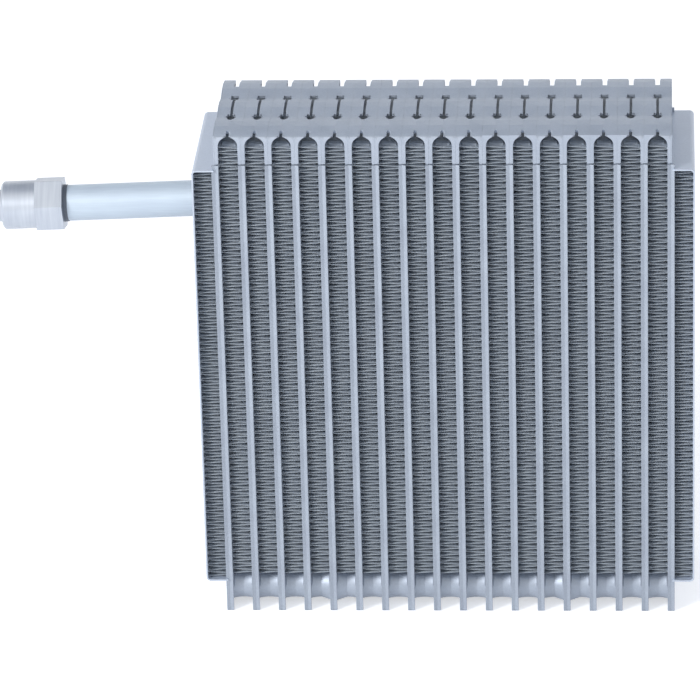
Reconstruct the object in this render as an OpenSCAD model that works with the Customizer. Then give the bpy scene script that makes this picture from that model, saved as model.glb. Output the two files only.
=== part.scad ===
// Laminated evaporator core of a vehicle air conditioner.
// Stamped plate pairs are stacked along X with corrugated air fins between them.
// Each pair is a hollow blade: the coolant goes up its front half, turns at the
// top and comes down its rear half. Cups at the foot join the blades into a tank.
// X runs across the stack, Y from the front to the rear and Z up.
// The origin is on the surface that the plates stand on, under the middle of the
// whole part, its pipes included.

/* [Core] */
// Number of plate pairs in the stack
plate_pairs = 18; // [15:1:18]
// Distance from one plate pair to the next
plate_pitch = 12; // [11:0.5:14]
// Depth of the plates, front to rear
core_depth = 72; // [64:1:90]
// Height of the plates without the crowns at the top
plate_height = 235; // [180:5:280]

/* [Stamped plates] */
// Thickness of the plate sheet
plate_sheet = 0.5; // [0.4:0.05:0.6]
// Height of a half plate's channel above the joint of the pair
channel_height = 1.6; // [1.4:0.1:2]
// Flat rim that the two halves are brazed along
rim_width = 1.5; // [1.5:0.25:3]
// Pressed rib that parts the front pass from the rear pass
rib_width = 3; // [2:0.5:5]
// Distance from the rib's upper end to the top of the plate
rib_top_gap = 22; // [18:1:40]
// Notch in the plate edge below the head, to place the stack for brazing
notch_height = 1.2; // [0.8:0.1:2]
// Depth of that notch
notch_depth = 0.8; // [0.5:0.1:1.2]

/* [Plate heads] */
// Height of the head, where the channel reaches the plate edge
head_height = 13.5; // [11:0.5:20]
// Rows of heads, front to rear
head_rows = 3; // [2:1:4]
// Rise of each head's crown
crown_height = 1.6; // [1:0.1:2.5]
// Flat length of each head's crown
crown_flat = 6.5; // [4:0.5:10]
// Width of the corner cut between two rows
corner_width = 1.9; // [1.2:0.1:2.3]
// Length of the corner cut between two rows
corner_length = 2.4; // [2.4:0.2:5]
// Width of the corner cut at the front and the rear
end_corner_width = 1.3; // [1:0.1:2.5]
// Length of the corner cut at the front and the rear
end_corner_length = 5; // [4:0.25:7]
// Gap between the middle heads of two neighbours
middle_gap = 1.2; // [0.5:0.1:1.5]
// Thickness of the head's edge at the seam
head_lip = 0.6; // [0.5:0.1:1]

/* [Tank cups] */
// Height of the widest cup above the plate's lower edge
cup_foot = 0.6; // [0.3:0.1:3]
// Radius of the cup where it meets its neighbour
cup_radius = 6.8; // [6:0.1:8]
// How much wider the cup is at its root
cup_flare = 1; // [0.6:0.1:3]
// How much wider the cups are at their roots on the two pairs that take the pipes
pipe_cup_flare = 2; // [0.6:0.1:3]
// Radius of the port through the cup
port_radius = 4.4; // [2.5:0.1:4.8]
// Space between the front and the rear cup, at their roots
cup_spacing = 6; // [4:0.5:10]

/* [Air fins] */
// Foil thickness of the fins
fin_foil = 0.2; // [0.15:0.05:0.3]
// Height of one full wave of the fin
fin_wave = 5.5; // [5.3:0.1:8]
// How far the fins stand back from the plate edges
fin_recess = 1.5; // [0.5:0.25:3]
// Gap between the cups and the lower end of the fins above them
fin_foot_gap = 0.15; // [0.1:0.05:4]
// Distance from the fins' upper end to the plate's top
fin_top_gap = 5.5; // [5:0.5:12]

/* [Side plates] */
// Width of the fin between an end plate and a side plate
end_fin_width = 9.4; // [7:0.2:12]
// Sheet thickness of the side plates
side_sheet = 0.7; // [0.6:0.1:1.5]
// Height of the side plate's lower flange above the plate's lower edge
side_bottom = 15.5; // [12:0.5:20]
// Distance from the side plate's top to the plate's top
side_top_gap = 16; // [12:0.5:24]
// How far the side plate stands past the plate edges
side_overhang = 1.5; // [0:0.25:3]
// Outer bend radius of the side plate
side_bend = 2; // [1.6:0.1:4]

/* [Suction pipe] */
// Outer diameter of the suction pipe
suction_od = 17; // [15:0.5:17]
// Wall of the suction pipe
suction_wall = 2; // [1.5:0.1:2.2]
// Plate pair that takes the suction pipe, counted from the left
suction_pair = 5; // [4:1:7]
// Bend radius at the middle of the suction pipe
suction_bend = 20; // [18:1:24]
// Height of the pipe's axis where it passes the left side plate
suction_height = 164.3; // [140:0.1:180]
// Slope of the pipe down to its fitting, in degrees
suction_slope = 2.2; // [0:0.2:5]
// Length of pipe seen between the side plate and the fitting
suction_reach = 70.5; // [50:0.5:90]

/* [Suction fitting] */
// Width over the flats of the fitting's hexagon
hex_width = 23; // [21:0.5:26]
// Length of the hexagon
hex_length = 13; // [9:0.5:16]
// Turn of the hexagon about the pipe, in degrees
hex_turn = 13; // [0:1:30]
// Diameter of the coupling barrel
barrel_od = 22.6; // [20:0.2:23]
// Length of the coupling barrel
barrel_length = 16; // [12:0.5:24]
// Edge break at the barrel's end
barrel_chamfer = 1; // [0.5:0.1:1.5]
// Diameter of the pilot nose
nose_od = 15; // [14:0.2:17]
// Length of the pilot nose
nose_length = 6; // [3:0.5:10]
// Depth of the socket that the pipe is brazed into
socket_depth = 8; // [5:0.5:10]

/* [Liquid pipe] */
// Outer diameter of the liquid pipe
liquid_od = 10; // [8:0.5:10]
// Wall of the liquid pipe
liquid_wall = 1.2; // [1:0.1:1.5]
// Plate pair that takes the liquid pipe, counted from the left
liquid_pair = 14; // [11:1:15]
// Bend radius at the middle of the liquid pipe
liquid_bend = 18; // [15:1:22]
// Height of the liquid pipe's open end
liquid_end = 110; // [60:5:180]
// Height of the bead rolled near the open end
bead_height = 1.5; // [1:0.1:2.5]
// Distance from the bead to the open end
bead_setback = 12; // [8:1:20]

/* [Spouts] */
// Gap between a spout and the pairs on each side of it
spout_side_gap = 0.2; // [0.1:0.05:1]
// How far the spout stands out behind the plate
spout_length = 6; // [4:0.5:8]
// How far the pipe's neck reaches into the plate from the spout's end
neck_length = 9; // [6:0.5:10]
// Length of the taper from the pipe to its neck
neck_taper = 5; // [3:0.5:8]

/* [Fits] */
// Gap for the braze between two faces that meet
braze_gap = 0.02; // [0.01:0.01:0.05]

/* [Hidden] */

$fn = 48;
over = 1;
lap = 0.05;
bend_thinning = 0.02;
half_pitch = (plate_pitch - braze_gap) / 2;
joint_gap = braze_gap / 2;
half_depth = core_depth / 2;
fold_diagonal = sqrt(2);
sheet_corner = plate_sheet * (fold_diagonal - 1);
channel_run = channel_height - plate_sheet;
channel_half = half_depth - rim_width;
rib_top = plate_height - rib_top_gap;

head_bottom = plate_height - head_height;
row_length = core_depth / head_rows;
crown_run = (row_length - crown_flat) / 2;
crown_top = plate_height + crown_height;
arch_radius = half_pitch - channel_height;
arch_centre = plate_height - head_lip - arch_radius;

cup_steps = 5;
round_root = 2.2;
cup_root = cup_radius + max(cup_flare, pipe_cup_flare);
cup_centre = cup_foot + cup_root;
cup_front = half_depth - rim_width;
cup_back = cup_spacing / 2;
cup_middle = (cup_front + cup_back) / 2;
cup_straight = cup_front - cup_back - 2 * cup_root;
fin_bottom = cup_centre + max(cup_at(channel_height, true), cup_at(channel_height, false)) + fin_foot_gap;

stack_half = (plate_pairs - 1) / 2 * plate_pitch;
end_face = stack_half + joint_gap + plate_sheet;
side_inner = end_face + end_fin_width;
side_outer = side_inner + side_sheet;
side_top = plate_height - side_top_gap;

spout_start = cup_middle + cup_straight / 2;
spout_end = half_depth + spout_length;
spout_radius = half_pitch - spout_side_gap;
neck_radius = spout_radius - plate_sheet - braze_gap;
neck_clear = 2;
pipe_start = spout_end + neck_clear + neck_taper;

suction_x = pair_x(suction_pair);
suction_y = pipe_start + suction_bend;
suction_run = suction_x + side_outer;
suction_corner = suction_height + suction_run * tan(suction_slope);
suction_turn = 90 + suction_slope;
suction_tangent = suction_bend * tan(suction_turn / 2);
suction_tip = (suction_run + suction_reach) / cos(suction_slope);
hex_radius = hex_width / 2 / cos(30);
fitting_length = hex_length + barrel_length + nose_length;
liquid_y = pipe_start + liquid_bend;

// The box round the whole part, seen from above. Its middle is the origin.
box_left = suction_x - (suction_tip + fitting_length) * cos(suction_slope)
    - nose_od / 2 * sin(suction_slope);
box_right = side_outer;
box_front = -half_depth - side_overhang;
box_rear = max(liquid_y + liquid_od / 2 + bead_height,
    suction_y + hex_radius * max([for (corner = [0:5]) cos(60 * corner - hex_turn)]));

plate_colour = [0.68, 0.73, 0.79];
fin_colour = [0.45, 0.5, 0.55];
side_colour = [0.72, 0.77, 0.83];
pipe_colour = [0.83, 0.87, 0.91];

function two_digits(n) = n < 10 ? str("0", n) : str(n);
function half_name(pair, side) = str("plate_", two_digits(pair), "_", side);
function fin_name(gap) = str("fin_", two_digits(gap));
function pair_x(pair) = (pair - 1) * plate_pitch - stack_half;
function cup_at(x, pipe) = let (share = max(0, half_pitch - x) / half_pitch)
    cup_radius + (pipe ? pipe_cup_flare * share : cup_flare * pow(share, round_root));
function takes_pipe(pair) = pair == suction_pair || pair == liquid_pair;

// Height of the plate's upper edge over one row of heads, from its front to its rear.
function row_edge(row) = let (y = row * row_length - half_depth) [
    [y, plate_height], [y + crown_run, crown_top],
    [y + crown_run + crown_flat, crown_top], [y + row_length, plate_height]];

// Outline of a whole plate, drawn with the depth along X and the height along Y.
module plate_outline(drop = 0) {
    difference() {
        polygon(concat([for (row = [0:head_rows - 1]) each [for (p = row_edge(row)) p - [0, drop]]],
            [[half_depth, 0], [-half_depth, 0]]));
        for (side = [-1, 1])
            translate([side * half_depth, head_bottom - notch_height / 2])
                square([2 * notch_depth, notch_height], center = true);
    }
}

// Turns a drawing of depth and height into a sheet that lies along X.
module across(from, to) {
    translate([from, 0, 0]) rotate([90, 0, 90]) linear_extrude(to - from) children();
}

// Turns a drawing of width and height into a bar that runs from the front to the rear.
module along_depth(half_length) {
    rotate([90, 0, 0]) linear_extrude(2 * half_length, center = true) children();
}

// Channel of one half plate, with the rib that parts its two passes.
module channel_outside() {
    slope = [[plate_sheet, 0], [channel_height, channel_run]];
    module section(rib) {
        polygon(concat([[0, -channel_half]], [for (p = slope) [p.x, p.y - channel_half]],
            rib ? [[channel_height, -rib_width / 2 - channel_run], [plate_sheet, -rib_width / 2],
                [plate_sheet, rib_width / 2], [channel_height, rib_width / 2 + channel_run]] : [],
            [for (i = [1, 0]) [slope[i].x, channel_half - slope[i].y]], [[0, channel_half]]));
    }
    translate([0, 0, cup_centre]) linear_extrude(rib_top - cup_centre) section(true);
    translate([0, 0, rib_top]) linear_extrude(head_bottom - rib_top + over) section(false);
}

// Hollow of that channel, one sheet thickness inside it.
module channel_inside() {
    depth = channel_height - plate_sheet;
    front = channel_half - sheet_corner;
    back = rib_width / 2 + sheet_corner;
    module pass() {
        polygon([[-over, -front], [0, -front], [depth, depth - front],
            [depth, -back - depth], [0, -back], [-over, -back]]);
    }
    module chamber() {
        polygon([[-over, -front], [0, -front], [depth, depth - front],
            [depth, front - depth], [0, front], [-over, front]]);
    }
    translate([0, 0, cup_centre]) linear_extrude(rib_top - cup_centre) {
        pass();
        mirror([0, 1]) pass();
    }
    translate([0, 0, rib_top]) linear_extrude(head_bottom - rib_top + over) chamber();
}

// Plan of the heads of one half plate: each row has its corners notched.
module head_plan(inset = 0) {
    last = head_rows - 1;
    for (row = [0:last]) {
        y = row * row_length - half_depth;
        front_cut = row == 0 ? [end_corner_width, end_corner_length] : [corner_width, corner_length];
        rear_cut = row == last ? [end_corner_width, end_corner_length] : [corner_width, corner_length];
        reach = half_pitch - inset - (row > 0 && row < last ? middle_gap / 2 : 0);
        polygon([[-over, y], [reach - front_cut.x, y],
            [reach - front_cut.x, y + front_cut.y - front_cut.x], [reach, y + front_cut.y],
            [reach, y + row_length - rear_cut.y],
            [reach - rear_cut.x, y + row_length - rear_cut.y + rear_cut.x],
            [reach - rear_cut.x, y + row_length], [-over, y + row_length]]);
    }
}

// Head of a half plate: it spreads from the channel to the neighbour like half a mushroom.
// The underside is an arch over the air gap.
module head(inset = 0, ends = 0) {
    intersection() {
        along_depth(half_depth - ends) difference() {
            translate([inset == 0 ? 0 : -over, head_bottom - inset])
                square([half_pitch + over, head_height + crown_height + inset + over]);
            translate([half_pitch, arch_centre]) circle(arch_radius + inset);
            translate([channel_height - inset, head_bottom - inset - over])
                square([half_pitch + over, arch_centre - head_bottom + inset + over]);
        }
        translate([0, 0, head_bottom - 2 * over]) linear_extrude(head_height + crown_height + 3 * over)
            head_plan(inset);
        across(-over, half_pitch + over) plate_outline(inset);
    }
}

// One round-ended cup, solid, with its axis along X and its root at the joint of the pair.
module cup(pipe, inset = 0, length = half_pitch) {
    steps = pipe ? 1 : cup_steps;
    x_at = [for (i = [0:steps]) length * i / steps];
    wall = [for (x = x_at) [x, cup_at(x, pipe) - inset]];
    for (side = [-1, 1])
        translate([0, side * cup_straight / 2, 0]) rotate([0, 90, 0]) rotate_extrude()
            polygon(concat([[0, 0]], [for (p = wall) [p.y, p.x]], [[0, length]]));
    along_depth(cup_straight / 2)
        polygon(concat(wall, [for (i = [steps:-1:0]) [wall[i].x, -wall[i].y]]));
}

// Port through a cup's end face.
module port() {
    for (side = [-1, 1])
        translate([0, side * cup_straight / 2, 0]) rotate([0, 90, 0])
            cylinder(r = port_radius, h = half_pitch + over);
    translate([0, -cup_straight / 2, -port_radius])
        cube([half_pitch + over, cup_straight, 2 * port_radius]);
}

// Half of the spout that a pipe is brazed into, on the rear cup's centre line.
module spout(radius, from, to) {
    translate([0, from, cup_centre]) rotate([-90, 0, 0]) cylinder(r = radius, h = to - from);
}

// Right-hand half of a plate pair, as one stamped sheet.
module formed_half(pipe) {
    difference() {
        union() {
            across(0, plate_sheet) plate_outline();
            channel_outside();
            head();
            for (side = [-1, 1]) translate([0, side * cup_middle, cup_centre]) cup(pipe);
            if (pipe) spout(spout_radius, spout_start, spout_end);
        }
        channel_inside();
        head(plate_sheet, rim_width - sheet_corner);
        for (side = [-1, 1]) translate([0, side * cup_middle, cup_centre]) {
            translate([-joint_gap, 0, 0]) cup(pipe, plate_sheet, half_pitch - plate_sheet);
            port();
        }
        if (pipe) spout(spout_radius - plate_sheet, spout_start, spout_end + over);
        translate([-plate_pitch, -2 * half_depth, -over])
            cube([plate_pitch, 4 * half_depth, plate_height + crown_height + 2 * over]);
    }
}

// Flat sheet that closes the outer side of the first and the last pair.
module flat_half() {
    across(0, plate_sheet) plate_outline();
}

// Half plate of a pair, on its right (side = 1) or its left (side = -1).
module half_plate(pair, side) {
    outermost = (pair == 1 && side < 0) || (pair == plate_pairs && side > 0);
    color(plate_colour) translate([pair_x(pair) + side * joint_gap, 0, 0])
        mirror([side < 0 ? 1 : 0, 0, 0]) {
            if (outermost) flat_half();
            else formed_half(takes_pipe(pair));
        }
}

// Corrugated fin between two faces, folded from one strip of foil.
// Each fold has a point on its outer side and one on its inner side.
module fin(width, from, to) {
    folds = 2 * floor((to - from) / fin_wave);
    rise = (to - from) / folds;
    reach = width / 2 - braze_gap;
    inner = reach - fin_foil * sqrt(1 + pow(2 * reach / rise, 2));
    along_depth(half_depth - fin_recess) translate([0, from])
        polygon(concat([for (i = [0:folds]) [i % 2 == 0 ? -reach : inner, rise * i]],
            [for (i = [folds:-1:0]) [i % 2 == 0 ? -inner : reach, rise * i]]));
}

// Fin between two plate pairs.
module inner_fin(gap) {
    color(fin_colour) translate([pair_x(gap) + plate_pitch / 2, 0, 0])
        fin(plate_pitch - 2 * channel_height - 2 * joint_gap, fin_bottom, plate_height - fin_top_gap);
}

// Fin between an end plate and its side plate.
module end_fin(side) {
    color(fin_colour) translate([side * (end_face + end_fin_width / 2), 0, 0])
        mirror([side < 0 ? 1 : 0, 0, 0])
            fin(end_fin_width, side_bottom + side_sheet + braze_gap, side_top - side_sheet - braze_gap);
}

// Side plate: a channel of bent sheet that closes and guards the end fin.
module side_plate(side) {
    flange_end = end_face + braze_gap;
    module section(from, to, low, high, radius) {
        translate([from, low]) square([to - radius - from, high - low]);
        translate([to - radius - over, low + radius]) square([radius + over, high - low - 2 * radius]);
        for (z = [low + radius, high - radius]) translate([to - radius, z]) circle(radius);
    }
    color(side_colour) mirror([side < 0 ? 1 : 0, 0, 0])
        along_depth(half_depth + side_overhang) difference() {
            section(flange_end, side_outer, side_bottom, side_top, side_bend);
            section(flange_end - over, side_inner, side_bottom + side_sheet, side_top - side_sheet,
                side_bend - side_sheet);
        }
}

// Pipe end that fits a spout: a neck, then a taper to the full size. It runs along Y.
module necked_end(radius, wall, tip, full) {
    translate([0, tip, 0]) rotate([-90, 0, 0]) difference() {
        union() {
            cylinder(r = neck_radius, h = full - neck_taper - tip);
            translate([0, 0, full - neck_taper - tip]) cylinder(r1 = neck_radius, r2 = radius, h = neck_taper);
        }
        translate([0, 0, -over]) cylinder(r = neck_radius - wall, h = full - neck_taper - tip + over);
        translate([0, 0, full - neck_taper - tip])
            cylinder(r1 = neck_radius - wall, r2 = radius - wall, h = neck_taper);
    }
}

// Straight tube along Z. Where a bend meets it, it laps over the bend's end.
module tube(radius, wall, length) {
    difference() {
        cylinder(r = radius, h = length);
        translate([0, 0, -over]) cylinder(r = radius - wall, h = length + 2 * over);
    }
}

// Bent tube that starts along Z and turns towards +X. Its wall is a hair thinner than
// a straight tube's, as on any bent pipe.
module elbow(radius, wall, bend, angle) {
    translate([bend, 0, 0]) rotate([90, 0, 180]) rotate_extrude(angle = angle)
        translate([bend, 0]) difference() {
            circle(radius - bend_thinning);
            circle(radius - wall + bend_thinning);
        }
}

// Lower end of a pipe: it leaves a spout, turns up and ends at the given height.
module rising_pipe(radius, wall, bend, top) {
    translate([0, 0, cup_centre]) {
        necked_end(radius, wall, spout_end - neck_length, pipe_start);
        translate([0, pipe_start, 0]) rotate([-90, 0, 0]) rotate([0, 0, -90])
            elbow(radius, wall, bend, 90);
        translate([0, pipe_start + bend, bend - lap]) tube(radius, wall, top - cup_centre - bend + lap);
    }
}

// Places what follows on the suction pipe's upper leg, with its axis along Z.
module on_suction_leg(distance) {
    translate([suction_x, suction_y, suction_corner]) rotate([0, -suction_turn, 0])
        translate([0, 0, distance]) children();
}

// Places what follows round the part's own origin.
module placed() {
    translate([-(box_left + box_right) / 2, -(box_front + box_rear) / 2, 0]) children();
}

// Suction pipe: it leaves the tank at the rear, rises and passes the left side plate.
module suction_pipe() {
    color(pipe_colour) {
        translate([suction_x, 0, 0])
            rising_pipe(suction_od / 2, suction_wall, suction_bend, suction_corner - suction_tangent + lap);
        translate([suction_x, suction_y, suction_corner - suction_tangent]) rotate([0, 0, 180])
            elbow(suction_od / 2, suction_wall, suction_bend, suction_turn);
        on_suction_leg(suction_tangent - lap)
            tube(suction_od / 2, suction_wall, suction_tip + socket_depth + lap - suction_tangent);
    }
}

// Suction fitting: a hexagon, a coupling barrel and a pilot nose, turned from one bar.
module suction_fitting() {
    color(pipe_colour) on_suction_leg(suction_tip) difference() {
        union() {
            rotate([0, 0, 90 + hex_turn]) cylinder(r = hex_radius, h = hex_length, $fn = 6);
            cylinder(d = barrel_od, h = hex_length + barrel_length - barrel_chamfer);
            translate([0, 0, hex_length + barrel_length - barrel_chamfer])
                cylinder(d1 = barrel_od, d2 = barrel_od - 2 * barrel_chamfer, h = barrel_chamfer);
            cylinder(d = nose_od, h = fitting_length);
        }
        translate([0, 0, -over]) cylinder(d = suction_od + 2 * braze_gap, h = socket_depth + braze_gap + over);
        cylinder(d = suction_od - 2 * suction_wall, h = fitting_length + over);
    }
}

// Liquid pipe: it rises behind the core and ends in a rolled bead.
module liquid_pipe() {
    radius = liquid_od / 2;
    color(pipe_colour) translate([pair_x(liquid_pair), 0, 0]) {
        rising_pipe(radius, liquid_wall, liquid_bend, liquid_end);
        translate([0, liquid_y, liquid_end - bead_setback]) difference() {
            rotate_extrude() translate([radius, 0]) circle(bead_height);
            cylinder(r = radius - liquid_wall / 2, h = 4 * bead_height, center = true);
        }
    }
}

for (pair = [1:plate_pairs]) {
    placed() half_plate(pair, -1);
    placed() half_plate(pair, 1);
}
for (gap = [1:plate_pairs - 1])
    placed() inner_fin(gap);
placed() end_fin(-1);  // end_fin_left
placed() end_fin(1);  // end_fin_right
placed() side_plate(-1);  // side_plate_left
placed() side_plate(1);  // side_plate_right
placed() suction_pipe();
placed() suction_fitting();
placed() liquid_pipe();
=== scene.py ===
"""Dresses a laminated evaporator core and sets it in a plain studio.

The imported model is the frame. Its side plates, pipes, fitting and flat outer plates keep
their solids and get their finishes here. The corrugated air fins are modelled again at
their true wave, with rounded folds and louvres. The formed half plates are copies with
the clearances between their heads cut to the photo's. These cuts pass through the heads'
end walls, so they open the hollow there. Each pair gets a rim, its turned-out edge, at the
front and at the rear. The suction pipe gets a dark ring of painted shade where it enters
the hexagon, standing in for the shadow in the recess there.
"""

import logging
import math
from dataclasses import dataclass
from enum import Enum
from typing import Any, Callable

import bpy
from mathutils import Matrix, Vector, noise


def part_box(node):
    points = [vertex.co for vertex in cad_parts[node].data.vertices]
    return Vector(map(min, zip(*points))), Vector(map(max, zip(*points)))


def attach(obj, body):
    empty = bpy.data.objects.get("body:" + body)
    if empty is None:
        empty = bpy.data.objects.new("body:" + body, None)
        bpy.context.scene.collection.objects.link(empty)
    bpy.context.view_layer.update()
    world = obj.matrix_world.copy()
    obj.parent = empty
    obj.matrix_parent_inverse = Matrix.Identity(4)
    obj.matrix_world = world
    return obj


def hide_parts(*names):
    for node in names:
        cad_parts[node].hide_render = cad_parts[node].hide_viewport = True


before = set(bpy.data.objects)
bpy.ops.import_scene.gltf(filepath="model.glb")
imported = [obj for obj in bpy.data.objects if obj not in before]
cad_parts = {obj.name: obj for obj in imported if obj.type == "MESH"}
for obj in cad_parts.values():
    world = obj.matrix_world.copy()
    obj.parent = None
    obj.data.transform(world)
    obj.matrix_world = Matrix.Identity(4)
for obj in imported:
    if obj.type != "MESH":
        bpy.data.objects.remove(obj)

LOG = logging.getLogger("evaporator")
MM = 0.001
SMOOTH_ANGLE = math.radians(35)  # folds sharper than this stay sharp
NEAR = 0.01 * MM  # how close a middle lies to the place where it is sought
WELD = 0.001 * MM  # vertices closer than this become one
Colour = tuple[float, float, float]


class Signal:
    """One output of a shader node, with the operators that shader maths needs."""

    def __init__(self, graph: "Graph", socket: bpy.types.NodeSocket) -> None:
        """Wraps a socket.

        Args:
            graph: The node tree that the socket belongs to.
            socket: The output to wrap.
        """
        self.graph = graph
        self.socket = socket

    def _maths(self, operation: str, first: Any, second: Any) -> "Signal":
        """Adds one Math node and returns its output."""
        return self.graph.add("ShaderNodeMath", {"operation": operation}, {0: first, 1: second})

    def __add__(self, other: Any) -> "Signal":
        """Signal + other."""
        return self._maths("ADD", self, other)

    def __radd__(self, other: Any) -> "Signal":
        """Other + signal."""
        return self._maths("ADD", other, self)

    def __sub__(self, other: Any) -> "Signal":
        """Signal - other."""
        return self._maths("SUBTRACT", self, other)

    def __rsub__(self, other: Any) -> "Signal":
        """Other - signal."""
        return self._maths("SUBTRACT", other, self)

    def __mul__(self, other: Any) -> "Signal":
        """Signal * other."""
        return self._maths("MULTIPLY", self, other)

    def __rmul__(self, other: Any) -> "Signal":
        """Other * signal."""
        return self._maths("MULTIPLY", other, self)


class Graph:
    """The node tree of one material or of the world."""

    def __init__(self, tree: bpy.types.NodeTree) -> None:
        """Empties the tree.

        Args:
            tree: The tree to build in.
        """
        self.tree = tree
        tree.nodes.clear()

    def node(self, kind: str, settings: dict[str, Any], inputs: dict[Any, Any]) -> bpy.types.Node:
        """Adds a node, sets it up and feeds it.

        Args:
            kind: The node's type.
            settings: The node's properties by name.
            inputs: Values or signals, by the input's name or number.

        Returns:
            The new node.
        """
        made = self.tree.nodes.new(kind)
        for name, value in settings.items():
            setattr(made, name, value)
        for name, value in inputs.items():
            self.feed(made.inputs[name], value)
        return made

    def add(self, kind: str, settings: dict[str, Any], inputs: dict[Any, Any],
            output: Any = 0) -> Signal:
        """Adds a node as node() does and returns one of its outputs."""
        return Signal(self, self.node(kind, settings, inputs).outputs[output])

    def feed(self, target: bpy.types.NodeSocket, value: Any) -> None:
        """Links a signal to an input, or sets the input's value.

        Args:
            target: The input.
            value: A signal, a number, a vector or a colour.
        """
        if isinstance(value, Signal):
            self.tree.links.new(value.socket, target)
        elif isinstance(value, tuple) and target.type == "RGBA":
            target.default_value = (*value, 1.0)
        else:
            target.default_value = value

    def place(self, scale: tuple[float, float, float]) -> Signal:
        """Object coordinates, stretched by a scale along each axis."""
        coordinates = self.add("ShaderNodeTexCoord", {}, {}, "Object")
        return self.add("ShaderNodeMapping", {}, {"Vector": coordinates, "Scale": Vector(scale)})

    def mix(self, factor: Any, low: Any, high: Any) -> Signal:
        """Mixes two colours by a factor.

        Args:
            factor: 0 for the low colour, 1 for the high one.
            low: The first colour, or a signal.
            high: The second colour, or a signal.

        Returns:
            The mixed colour.
        """
        made = self.node("ShaderNodeMix", {"data_type": "RGBA"}, {})
        sockets = {s.name: s for s in made.inputs if s.enabled}
        for name, value in {"Factor": factor, "A": low, "B": high}.items():
            self.feed(sockets[name], value)
        return Signal(self, next(s for s in made.outputs if s.enabled))

    def surface(self, inputs: dict[str, Any]) -> None:
        """Adds a material's shader, feeds it and links it to the material's output."""
        shader = self.add("ShaderNodeBsdfPrincipled", {}, inputs)
        self.node("ShaderNodeOutputMaterial", {}, {"Surface": shader})


class Grain(Enum):
    """Direction in which a sheet, foil or pipe was drawn or rolled."""

    ROUND = (1.0, 1.0, 1.0)
    ALONG_X = (0.04, 1.0, 1.0)
    ALONG_Y = (1.0, 0.04, 1.0)
    ALONG_Z = (1.0, 1.0, 0.04)
    TURNED = (1.0, 0.05, 0.05)


@dataclass(frozen=True)
class MetalFinish:
    """A metal surface: its colour, how dull it is, and the marks that working left on it."""

    name: str
    light: Colour
    dark: Colour
    metallic: float
    roughness: float
    roughness_spread: float
    grain: Grain
    grain_per_mm: float
    cloud_mm: float
    bump: float
    edge_mm: float
    grain_detail: float = 3.0
    cloud_detail: float = 2.0
    tone_window: tuple[float, float] = (0.35, 0.65)
    bump_depth: float = 0.05 * MM
    edge_samples: int = 4

    def material(self) -> bpy.types.Material:
        """Builds the material.

        Returns:
            The new material.
        """
        made = bpy.data.materials.new(self.name)
        made.use_nodes = True
        graph = Graph(made.node_tree)
        fine = self._noise(graph, self.grain_per_mm / MM, self.grain.value, self.grain_detail)
        clouds = self._noise(graph, 1 / (self.cloud_mm * MM), Grain.ROUND.value, self.cloud_detail)
        marks = fine * 0.5 + clouds * 0.5
        darkest, lightest = self.tone_window
        tone = graph.add("ShaderNodeMapRange", {}, {
            "Value": marks, "From Min": darkest, "From Max": lightest})
        colour = graph.mix(tone, self.dark, self.light)
        rough = marks * self.roughness_spread + (self.roughness - self.roughness_spread / 2)
        soft = graph.add("ShaderNodeBevel", {"samples": self.edge_samples}, {"Radius": self.edge_mm * MM})
        bump = graph.add("ShaderNodeBump", {}, {
            "Strength": self.bump, "Distance": self.bump_depth, "Height": fine, "Normal": soft})
        graph.surface({"Base Color": colour, "Metallic": self.metallic, "Roughness": rough, "Normal": bump})
        return made

    @staticmethod
    def _noise(graph: Graph, scale: float, stretch: tuple[float, float, float], detail: float) -> Signal:
        """A noise of the given scale, in features to the metre, stretched along an axis."""
        return graph.add("ShaderNodeTexNoise", {}, {
            "Vector": graph.place(stretch), "Scale": scale, "Detail": detail}, "Fac")


PLATE_FINISH = MetalFinish("brazed_plate", (0.47, 0.52, 0.60), (0.39, 0.44, 0.52), 0.4, 0.48, 0.2,
                           Grain.ROUND, 1.6, 14, 0.25, 0.25)
RIM_FINISH = MetalFinish("plate_rim", (0.43, 0.48, 0.55), (0.35, 0.39, 0.46), 0.4, 0.48, 0.2,
                         Grain.ROUND, 1.6, 14, 0.25, 0.25)
FIN_FINISH = MetalFinish("fin_foil", (0.62, 0.67, 0.72), (0.49, 0.54, 0.60), 0.12, 0.5, 0.2,
                         Grain.ALONG_Y, 2.0, 7, 0.15, 0.0)
SIDE_FINISH = MetalFinish("side_sheet", (0.60, 0.66, 0.76), (0.53, 0.59, 0.69), 0.45, 0.42, 0.15,
                          Grain.ALONG_Z, 1.2, 30, 0.2, 0.3)
PIPE_FINISH = MetalFinish("drawn_pipe", (0.62, 0.71, 0.79), (0.55, 0.63, 0.72), 0.3, 0.42, 0.12,
                          Grain.ALONG_X, 1.5, 25, 0.12, 0.0)
FITTING_FINISH = MetalFinish("turned_fitting", (0.60, 0.64, 0.70), (0.49, 0.53, 0.60), 0.75, 0.36, 0.1,
                             Grain.TURNED, 0.9, 20, 0.12, 0.3)
# Dark ring colour: painted shade for the shadowed recess between the fitting's hexagon and the pipe.
SHADE_RING_FINISH = MetalFinish("painted_shade_ring", (0.17, 0.19, 0.23), (0.12, 0.14, 0.17), 0.2, 0.5, 0.1,
                          Grain.ROUND, 1.0, 10, 0.1, 0.0)


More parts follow.
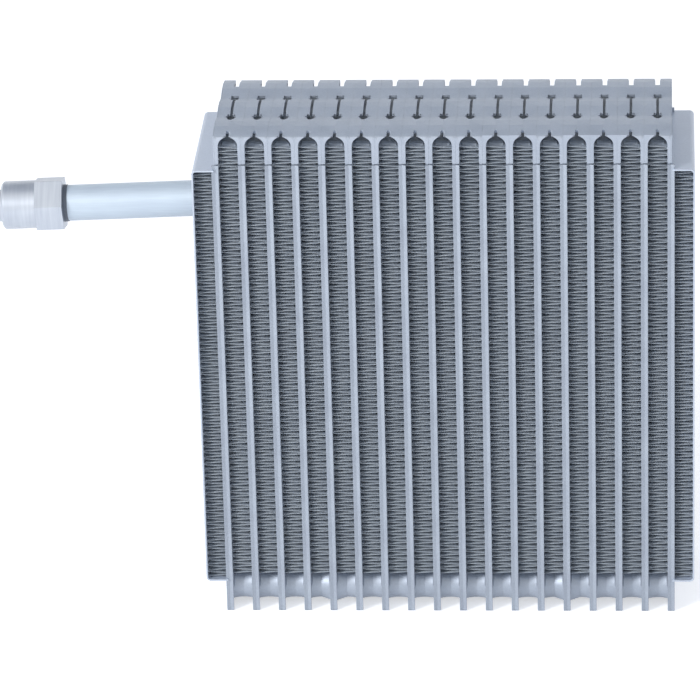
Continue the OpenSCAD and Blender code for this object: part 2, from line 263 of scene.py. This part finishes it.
class Bench:
    """Modelling steps that every new piece uses."""

    @staticmethod
    def clear_selection() -> None:
        """Leaves edit mode and deselects every object."""
        if bpy.context.object and bpy.context.object.mode != "OBJECT":
            bpy.ops.object.mode_set(mode="OBJECT")
        bpy.ops.object.select_all(action="DESELECT")

    @staticmethod
    def activate(piece: bpy.types.Object) -> None:
        """Makes an object the only selected one and the active one.

        Args:
            piece: The object.
        """
        Bench.clear_selection()
        piece.select_set(True)
        bpy.context.view_layer.objects.active = piece

    @staticmethod
    def pick(piece: bpy.types.Object, mode: str, test: Callable[[Vector], bool]) -> None:
        """Selects the edges or faces whose middle passes a test, and stays in edit mode.

        Args:
            piece: The object being modelled.
            mode: "EDGE" or "FACE".
            test: Takes the middle of the edge or face.
        """
        bpy.ops.object.mode_set(mode="EDIT")
        bpy.ops.mesh.select_mode(type=mode)
        bpy.ops.mesh.select_all(action="DESELECT")
        bpy.ops.object.mode_set(mode="OBJECT")
        mesh = piece.data
        if mode == "FACE":
            for face in mesh.polygons:
                face.select = test(face.center)
        else:
            for edge in mesh.edges:
                first, second = (mesh.vertices[i].co for i in edge.vertices)
                edge.select = test((first + second) / 2)
        bpy.ops.object.mode_set(mode="EDIT")

    @staticmethod
    def modify(piece: bpy.types.Object, kind: str, **settings: Any) -> None:
        """Adds a modifier, sets it and applies it.

        Args:
            piece: The object to modify. It is the active object.
            kind: The modifier's type.
            settings: The modifier's properties by name.
        """
        modifier = piece.modifiers.new(kind.title(), kind)
        for name, value in settings.items():
            setattr(modifier, name, value)
        bpy.ops.object.modifier_apply(modifier=modifier.name)

    @staticmethod
    def dress(piece: bpy.types.Object, material: bpy.types.Material) -> None:
        """Gives every face of an object one material."""
        piece.data.materials.clear()
        piece.data.materials.append(material)

    @staticmethod
    def block(low: Vector, high: Vector) -> bpy.types.Object:
        """Adds a block between two corners, as the start of a piece.

        Args:
            low: Its lowest corner.
            high: Its highest corner.

        Returns:
            The block, at the origin.
        """
        Bench.clear_selection()
        bpy.ops.mesh.primitive_cube_add(size=1)
        piece = bpy.context.object
        piece.data.transform(Matrix.Diagonal((*(high - low), 1)))
        piece.data.transform(Matrix.Translation((low + high) / 2))
        return piece

    @staticmethod
    def copy(pattern: bpy.types.Object, name: str, place: Matrix) -> bpy.types.Object:
        """Copies a pattern with a mesh of its own, and moves that mesh to its place.

        Args:
            pattern: The object to copy.
            name: Name of the copy.
            place: How far the mesh is moved or turned.

        Returns:
            The copy, at the origin.
        """
        piece = bpy.data.objects.new(name, pattern.data.copy())
        bpy.context.scene.collection.objects.link(piece)
        piece.data.transform(place)
        return piece


@dataclass
class FinPack:
    """Corrugated, louvred air fins between the plates."""

    wave: float = 3.0 * MM
    crest: float = 0.85 * MM
    foil: float = 0.12 * MM
    fold_radius: float = 0.16 * MM
    fold_segments: int = 2
    rail: float = 1.2 * MM
    land: float = 3.6 * MM
    louvre: float = 1.3 * MM
    louvres: int = 3
    louvre_tilt: float = math.radians(27)
    stray: float = 0.16 * MM
    stray_length: float = 5.0 * MM
    stray_stretch: float = 8.0
    seed_step: float = 7.3
    same_size: float = 0.1 * MM

    def build(self) -> None:
        """Models one fin of each width and stands a copy in every gap."""
        material = FIN_FINISH.material()
        names = sorted(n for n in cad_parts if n.startswith(("fin_", "end_fin_")))
        patterns: dict[tuple[int, int], bpy.types.Object] = {}
        for number, name in enumerate(names):
            low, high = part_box(name)
            size = high - low
            key = (round(size.x / self.same_size), round(size.z / self.same_size))
            if key not in patterns:
                patterns[key] = self._pattern(size)
            fin = self._copy(patterns[key], f"folded_{name}", (low + high) / 2, number)
            Bench.dress(fin, material)
            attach(fin, "root")
            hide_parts(name)
        for pattern in patterns.values():
            bpy.data.objects.remove(pattern)
        LOG.info("fins: %d, from %d patterns", len(names), len(patterns))

    def _pattern(self, size: Vector) -> bpy.types.Object:
        """Folds a whole fin, centred on the origin.

        Args:
            size: Width, depth and height of the fin, in metres.

        Returns:
            The fin.
        """
        waves = round(size.z / self.wave)
        pitch = size.z / waves
        reach = (size.x - self.foil) / 2
        piece = self._one_wave(reach, size.y, pitch)
        self._cut_louvres(piece, reach, size.y)
        Bench.modify(piece, "ARRAY", count=waves, use_relative_offset=False, use_constant_offset=True,
                     constant_offset_displace=(0, 0, pitch), use_merge_vertices=True,
                     merge_threshold=WELD)
        Bench.modify(piece, "SOLIDIFY", thickness=self.foil, offset=0.0)
        piece.data.transform(Matrix.Translation((0, 0, -size.z / 2)))
        bpy.ops.object.shade_smooth_by_angle(angle=SMOOTH_ANGLE)
        return piece

    def _one_wave(self, reach: float, depth: float, pitch: float) -> bpy.types.Object:
        """Folds one wave of foil by extruding an edge from crest to crest.

        Args:
            reach: Distance from the fin's middle to a crest.
            depth: Depth of the fin.
            pitch: Height of the wave.

        Returns:
            The wave, as a surface.
        """
        Bench.clear_selection()
        bpy.ops.mesh.primitive_plane_add(size=1)
        piece = bpy.context.object
        half_crest = self.crest / 2
        piece.data.transform(Matrix.Rotation(math.radians(90), 4, "Y"))
        piece.data.transform(Matrix.Diagonal((1, depth, half_crest, 1)))
        piece.data.transform(Matrix.Translation((-reach, 0, half_crest / 2)))
        Bench.pick(piece, "EDGE", lambda middle: middle.z > half_crest - NEAR)
        rise = pitch / 2 - self.crest
        for across, up in ((2 * reach, rise), (0, self.crest), (-2 * reach, rise), (0, half_crest)):
            bpy.ops.mesh.extrude_edges_move(TRANSFORM_OT_translate={"value": (across, 0, up)})
        corner_heights = [half_crest, half_crest + rise, pitch - half_crest - rise, pitch - half_crest]
        Bench.pick(piece, "EDGE", lambda middle: abs(middle.y) < NEAR
                   and any(abs(middle.z - height) < NEAR for height in corner_heights))
        bpy.ops.mesh.bevel(offset=self.fold_radius, segments=self.fold_segments, affect="EDGES")
        bpy.ops.object.mode_set(mode="OBJECT")
        return piece

    def _cut_louvres(self, piece: bpy.types.Object, reach: float, depth: float) -> None:
        """Slits both legs of a wave near the front and the rear, and tilts each slat.

        Args:
            piece: The wave.
            reach: Distance from the fin's middle to a crest.
            depth: Depth of the fin.
        """
        rail = reach - self.rail
        for side in (-1, 1):
            Bench.pick(piece, "FACE", lambda middle: abs(middle.x) < reach / 2)
            bpy.ops.mesh.bisect(plane_co=(side * rail, 0, 0), plane_no=(1, 0, 0))
        first = depth / 2 - self.land
        cuts = [first - self.louvre * i for i in range(self.louvres + 1)]
        for cut in cuts:
            for side in (-1, 1):
                Bench.pick(piece, "FACE", lambda middle: abs(middle.x) < rail / 2)
                bpy.ops.mesh.bisect(plane_co=(0, side * cut, 0), plane_no=(0, 1, 0))
        bpy.ops.object.mode_set(mode="OBJECT")
        slats = [face.center.copy() for face in piece.data.polygons
                 if abs(face.center.x) < rail / 2 and cuts[-1] < abs(face.center.y) < first]
        for slat in slats:
            Bench.pick(piece, "FACE", lambda middle: (middle - slat).length < NEAR)
            bpy.ops.mesh.edge_split(type="EDGE")
            turn = self.louvre_tilt if slat.y > 0 else -self.louvre_tilt
            bpy.ops.transform.rotate(value=turn, orient_axis="X", center_override=slat)
        bpy.ops.object.mode_set(mode="OBJECT")

    def _copy(self, pattern: bpy.types.Object, name: str, middle: Vector, seed: int) -> bpy.types.Object:
        """Copies a fin to its place and lets its folds stray a little, as on a real fin.

        Args:
            pattern: The fin to copy.
            name: Name of the copy.
            middle: Where the copy's middle goes.
            seed: Number that makes this fin's strays its own.

        Returns:
            The copy.
        """
        fin = Bench.copy(pattern, name, Matrix())
        half = max(v.co.z for v in fin.data.vertices)
        for vertex in fin.data.vertices:
            height = vertex.co.z
            hold = min(1.0, (half - abs(height)) / (2 * self.wave))
            at = Vector((seed * self.seed_step, vertex.co.x / (self.stray_stretch * self.stray_length),
                         height / self.stray_length))
            vertex.co.z += self.stray * hold * noise.noise(at)
        fin.data.transform(Matrix.Translation(middle))
        return fin


@dataclass
class PlateStack:
    """The stamped half plates, with the clearances between neighbouring heads cut out.

    The heads are hollow nearly to the joint between them, so the cuts open the hollow.
    """

    flat_halves: tuple[str, str] = ("plate_01_left", "plate_18_right")
    half_depth: float = 36.0 * MM
    cut_floor: float = 232.0 * MM
    cut_top: float = 240.0 * MM
    rear_half_width: float = 1.05 * MM
    rear_start: float = 23.4 * MM
    rear_end: float = 40.0 * MM
    bar_half_width: float = 1.75 * MM
    upper_bar: tuple[float, float] = (8.8 * MM, 14.6 * MM)
    lower_bar: tuple[float, float] = (-14.4 * MM, -9.2 * MM)
    point_length: float = 3.6 * MM
    point_share: float = 0.35
    neck_half_width: float = 0.7 * MM
    notch_half_width: float = 1.5 * MM
    notch_length: float = 5.1 * MM
    web: tuple[float, float] = (234.4 * MM, 235.0 * MM)
    crown_slope: float = 1.6 / 8.75

    def build(self) -> None:
        """Dresses the flat outer halves and stands a cut copy in place of each formed half."""
        material = PLATE_FINISH.material()
        cutter = self._cutter()
        names = sorted(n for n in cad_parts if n.startswith("plate_"))
        for name in names:
            if name in self.flat_halves:
                Bench.dress(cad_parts[name], material)
                continue
            piece = self._cut_half(name, cutter)
            Bench.dress(piece, material)
            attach(piece, "root")
            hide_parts(name)
        bpy.data.objects.remove(cutter)
        LOG.info("half plates: %d", len(names))

    def _cutter(self) -> bpy.types.Object:
        """Models the clearances round a joint between heads.

        Returns:
            The cutter, with the joint's middle at the origin.
        """
        half = self.bar_half_width
        lower = Bench.block(Vector((-half, self.lower_bar[0], self.cut_floor)),
                            Vector((half, self.lower_bar[1], self.cut_top)))
        front = self.lower_bar[0]
        Bench.pick(lower, "FACE", lambda middle: middle.y < front + NEAR)
        bpy.ops.mesh.extrude_region_move(TRANSFORM_OT_translate={"value": (0, -self.point_length, 0)})
        bpy.ops.transform.resize(value=(self.point_share, 1, 1), center_override=(0, 0, self.cut_floor))
        bpy.ops.object.mode_set(mode="OBJECT")
        upper = Bench.block(Vector((-half, self.upper_bar[0], self.cut_floor)),
                            Vector((half, self.upper_bar[1], self.cut_top)))
        rear = Bench.block(Vector((-self.rear_half_width, self.rear_start, self.cut_floor)),
                           Vector((self.rear_half_width, self.rear_end, self.cut_top)))
        Bench.clear_selection()
        for part in (rear, upper, lower):
            part.select_set(True)
        bpy.context.view_layer.objects.active = lower
        bpy.ops.object.join()
        return lower

    def _cut_half(self, name: str, cutter: bpy.types.Object) -> bpy.types.Object:
        """Copies a half plate and cuts its heads where they meet the neighbour's.

        Args:
            name: The half plate's node.
            cutter: The clearances round a joint, with the joint's middle at the origin.

        Returns:
            The cut copy.
        """
        low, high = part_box(name)
        joint = high.x if name.endswith("_right") else low.x
        piece = Bench.copy(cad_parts[name], f"stamped_{name}", Matrix())
        Bench.activate(piece)
        bpy.ops.object.mode_set(mode="EDIT")
        bpy.ops.mesh.select_all(action="SELECT")
        bpy.ops.mesh.remove_doubles(threshold=WELD)
        bpy.ops.object.mode_set(mode="OBJECT")
        tool = Bench.copy(cutter, "cutter", Matrix.Translation((joint, low.y + self.half_depth, 0)))
        Bench.modify(piece, "BOOLEAN", operation="DIFFERENCE", object=tool, solver="EXACT")
        bpy.data.objects.remove(tool)
        filler = self._filler(joint, low.y, -1 if name.endswith("_right") else 1)
        Bench.activate(piece)
        Bench.modify(piece, "BOOLEAN", operation="UNION", object=filler, solver="EXACT")
        bpy.data.objects.remove(filler)
        bpy.ops.object.shade_smooth_by_angle(angle=SMOOTH_ANGLE)
        Bench.modify(piece, "WEIGHTED_NORMAL", keep_sharp=True)
        return piece

    def _filler(self, joint: float, front: float, side: int) -> bpy.types.Object:
        """Models the strip of web that narrows a head's front notch to the photo's neck.

        Args:
            joint: Where the heads meet, along x.
            front: The plates' front edge, along y.
            side: -1 for the head on the joint's left, 1 for the one on its right.

        Returns:
            The strip.
        """
        ends = sorted((joint + side * self.neck_half_width, joint + side * self.notch_half_width))
        strip = Bench.block(Vector((ends[0], front, self.web[0])),
                            Vector((ends[1], front + self.notch_length, self.web[1])))
        Bench.pick(strip, "FACE", lambda middle: middle.y > front + self.notch_length - NEAR)
        rise = self.notch_length * self.crown_slope
        bpy.ops.transform.translate(value=(0, 0, rise))
        bpy.ops.object.mode_set(mode="OBJECT")
        return strip


@dataclass
class PlateRims:
    """Edges of the plate pairs, turned out at the front and the rear from the foot to the head."""

    half_width: float = 1.61 * MM
    plate_depth: float = 72.0 * MM
    sheet: float = 0.5 * MM
    height: float = 220.9 * MM
    proud: float = 0.54 * MM
    groove: float = 0.5 * MM
    rounding: float = 0.16 * MM
    rounding_segments: int = 2
    smooth_angle: float = math.radians(8)
    pairs: int = 18

    def build(self) -> None:
        """Models one rim and stands a copy at the front and the rear of each pair."""
        material = RIM_FINISH.material()
        rim = self._rim()
        turned = Matrix.Rotation(math.pi, 4, "Z")
        for pair in range(1, self.pairs + 1):
            low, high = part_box(f"plate_{pair:02d}_left")
            joint = (high.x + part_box(f"plate_{pair:02d}_right")[0].x) / 2
            rear = low.y + self.plate_depth
            for end, place in (("front", Matrix.Translation((joint, low.y, 0))),
                               ("rear", Matrix.Translation((joint, rear, 0)) @ turned)):
                piece = Bench.copy(rim, f"rim_{pair:02d}_{end}", place)
                Bench.dress(piece, material)
                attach(piece, "root")
        bpy.data.objects.remove(rim)
        LOG.info("rims: %d", 2 * self.pairs)

    def _rim(self) -> bpy.types.Object:
        """Models one rim.

        Returns:
            The rim, for a joint at x = 0 and a front edge at y = 0.
        """
        piece = Bench.block(Vector((-self.half_width, -self.proud, 0)),
                            Vector((self.half_width, self.sheet, self.height)))
        Bench.pick(piece, "EDGE", lambda middle: middle.y < 0 and middle.z < self.height - NEAR)
        bpy.ops.mesh.bevel(offset=self.rounding, segments=self.rounding_segments, affect="EDGES")
        face = -self.proud + NEAR
        Bench.pick(piece, "FACE", lambda middle: middle.y < face)
        bpy.ops.mesh.bisect(plane_co=(0, 0, 0), plane_no=(1, 0, 0))
        Bench.pick(piece, "EDGE", lambda middle: middle.y < face and abs(middle.x) < NEAR)
        bpy.ops.transform.translate(value=(0, self.groove, 0))
        bpy.ops.object.mode_set(mode="OBJECT")
        bpy.ops.object.shade_smooth_by_angle(angle=self.smooth_angle)
        return piece


@dataclass
class SidePlates:
    """The two bent side plates."""

    def dress(self) -> None:
        """Gives both side plates their finish."""
        material = SIDE_FINISH.material()
        for name in ("side_plate_left", "side_plate_right"):
            Bench.dress(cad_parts[name], material)
        LOG.info("side plates: 2")


@dataclass
class Pipes:
    """The suction pipe with its fitting and its dark ring of painted shade, and the liquid pipe."""

    ring_radius: float = 8.75 * MM
    ring_length: float = 2.0 * MM
    ring_wall: float = 0.4 * MM
    ring_sides: int = 48
    ring_reach: float = 0.5 * MM
    hexagon_half_length: float = 6.5 * MM
    slope: float = 0.0384

    def build(self) -> None:
        """Gives the pipes and the fitting their finishes, and adds the dark ring of painted shade."""
        pipe = PIPE_FINISH.material()
        for name in ("suction_pipe", "liquid_pipe"):
            Bench.dress(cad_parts[name], pipe)
        Bench.dress(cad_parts["suction_fitting"], FITTING_FINISH.material())
        self._painted_shade_ring()
        # The ring counted here is a dark ring of painted shade.
        LOG.info("pipes: 2, fittings: 1, painted shade rings: 1")

    def _painted_shade_ring(self) -> None:
        """Models a dark ring of painted shade round the suction pipe where it enters the hexagon. It stands
        in for the shadow in the recess between hexagon and pipe.
        """
        low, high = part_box("suction_fitting")
        middle = (low + high) / 2
        Bench.clear_selection()
        bpy.ops.mesh.primitive_cylinder_add(vertices=self.ring_sides, radius=self.ring_radius,
                                            depth=self.ring_length, end_fill_type="NOTHING")
        ring = bpy.context.object
        ring.name = "painted_shade_ring"
        ring.data.transform(Matrix.Rotation(math.radians(90) - self.slope, 4, "Y"))
        rise = (self.hexagon_half_length + self.ring_reach) * self.slope
        ring.data.transform(Matrix.Translation((high.x + self.ring_reach, middle.y, middle.z + rise)))
        Bench.modify(ring, "SOLIDIFY", thickness=self.ring_wall, offset=-1.0)
        bpy.ops.object.shade_smooth_by_angle(angle=SMOOTH_ANGLE)
        Bench.dress(ring, SHADE_RING_FINISH.material())
        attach(ring, "root")


@dataclass
class Studio:
    """Floor, sky, card and lamps."""

    floor_size: float = 12.0
    floor_drop: float = 0.05 * MM
    floor_colour: Colour = (0.86, 0.86, 0.87)
    floor_lift: float = 0.52
    floor_gloss: float = 0.1
    dullness: float = 0.9
    sky: Colour = (0.58, 0.61, 0.66)
    white: Colour = (1.0, 1.0, 1.0)
    black: Colour = (0.0, 0.0, 0.0)
    lamp_size: float = 0.6
    key_place: tuple[float, float, float] = (-1.75, -1.75, 1.4)
    key_power: float = 40.0
    fill_place: tuple[float, float, float] = (-0.9, -1.3, 0.7)
    fill_power: float = 2.4
    aim: tuple[float, float, float] = (0.0, 0.0, 0.12)
    card_low: tuple[float, float] = (-1.0, -0.1)
    card_high: tuple[float, float] = (0.6, 1.2)
    card_height: float = 1.0
    card_colour: Colour = (0.58, 0.60, 0.63)

    def build(self) -> None:
        """Builds the floor, the sky, the card and the lamps."""
        self._floor()
        self._sky()
        self._card()
        self._lamp("key", self.key_place, self.key_power)
        self._lamp("fill", self.fill_place, self.fill_power)
        LOG.info("studio: floor, sky, card and 2 lamps")

    def _floor(self) -> None:
        """Adds the pale floor, which looks white to the camera but keeps the shadow."""
        Bench.clear_selection()
        bpy.ops.mesh.primitive_plane_add(size=self.floor_size)
        floor = bpy.context.object
        floor.name = "floor"
        floor.data.transform(Matrix.Translation((0, 0, -self.floor_drop)))
        made = bpy.data.materials.new("floor")
        made.use_nodes = True
        graph = Graph(made.node_tree)
        lift = graph.mix(self._seen_or_mirrored(graph), self.black, (self.floor_lift,) * 3)
        graph.surface({"Base Color": self.floor_colour, "Roughness": self.dullness, "Emission Color": lift,
                       "Emission Strength": 1.0, "Specular IOR Level": self.floor_gloss})
        Bench.dress(floor, made)

    def _card(self) -> None:
        """Hangs a grey card over the part, out of the picture, so that tops get less light."""
        card = Bench.block(Vector((*self.card_low, self.card_height)),
                           Vector((*self.card_high, self.card_height + MM)))
        card.name = "card"
        card.visible_camera = False
        made = bpy.data.materials.new("card")
        made.use_nodes = True
        Graph(made.node_tree).surface({"Base Color": self.card_colour, "Roughness": self.dullness})
        Bench.dress(card, made)

    def _sky(self) -> None:
        """Makes a soft sky that lights the part, and is white to the camera and in reflections."""
        world = bpy.data.worlds.new("studio")
        bpy.context.scene.world = world
        world.use_nodes = True
        graph = Graph(world.node_tree)
        colour = graph.mix(self._seen_or_mirrored(graph), self.sky, self.white)
        background = graph.add("ShaderNodeBackground", {}, {"Color": colour, "Strength": 1.0})
        graph.node("ShaderNodeOutputWorld", {}, {"Surface": background})

    @staticmethod
    def _seen_or_mirrored(graph: Graph) -> Signal:
        """Tells rays from the camera, and mirrored or refracted ones, from the others.

        Args:
            graph: The node tree to build in.

        Returns:
            1 on these rays and 0 on the others.
        """
        path = graph.node("ShaderNodeLightPath", {}, {})
        seen, mirrored, refracted = (Signal(graph, path.outputs[f"Is {kind} Ray"])
                                     for kind in ("Camera", "Glossy", "Transmission"))
        return seen + mirrored + refracted

    def _lamp(self, name: str, place: tuple[float, float, float], power: float) -> None:
        """Adds a square lamp that faces the part.

        Args:
            name: Name of the lamp.
            place: Where it hangs, in metres.
            power: Its power in watts.
        """
        data = bpy.data.lights.new(name, "AREA")
        data.size = self.lamp_size
        data.energy = power
        lamp = bpy.data.objects.new(name, data)
        bpy.context.scene.collection.objects.link(lamp)
        lamp.location = place
        ahead = Vector(self.aim) - Vector(place)
        lamp.rotation_euler = ahead.to_track_quat("-Z", "Y").to_euler()


@dataclass
class Viewpoint:
    """The camera, where the photograph was taken from."""

    place: tuple[float, float, float] = (0.15038, -2.26522, 1.077)
    down: float = math.radians(23.2)
    turn: float = math.radians(-3.36)
    roll: float = math.radians(-0.05)
    sensor: float = 36.0
    focal_share: float = 5300 / 700
    clip_end: float = 50.0

    def build(self) -> None:
        """Makes the camera and gives it to the scene."""
        right = Vector((1, 0, 0))
        ahead = Vector((0, math.cos(self.down), -math.sin(self.down)))
        up = Vector((0, math.sin(self.down), math.cos(self.down)))
        right, ahead = (math.cos(self.turn) * right - math.sin(self.turn) * ahead,
                        math.cos(self.turn) * ahead + math.sin(self.turn) * right)
        right, up = (math.cos(self.roll) * right + math.sin(self.roll) * up,
                     math.cos(self.roll) * up - math.sin(self.roll) * right)
        data = bpy.data.cameras.new("camera")
        data.sensor_width = self.sensor
        data.lens = self.sensor * self.focal_share
        data.clip_end = self.clip_end
        camera = bpy.data.objects.new("camera", data)
        bpy.context.scene.collection.objects.link(camera)
        turn = Matrix((right, up, -ahead)).transposed().to_4x4()
        camera.matrix_world = Matrix.Translation(self.place) @ turn
        bpy.context.scene.camera = camera
        LOG.info("camera: lens %.1f mm", data.lens)


def main() -> None:
    """Builds the studio and dresses the part."""
    logging.basicConfig(level=logging.INFO, format="%(name)s: %(message)s")
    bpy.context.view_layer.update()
    bpy.context.scene.view_settings.view_transform = "Standard"
    Viewpoint().build()
    Studio().build()
    PlateStack().build()
    PlateRims().build()
    SidePlates().dress()
    Pipes().build()
    FinPack().build()


if __name__ == "__main__":
    main()
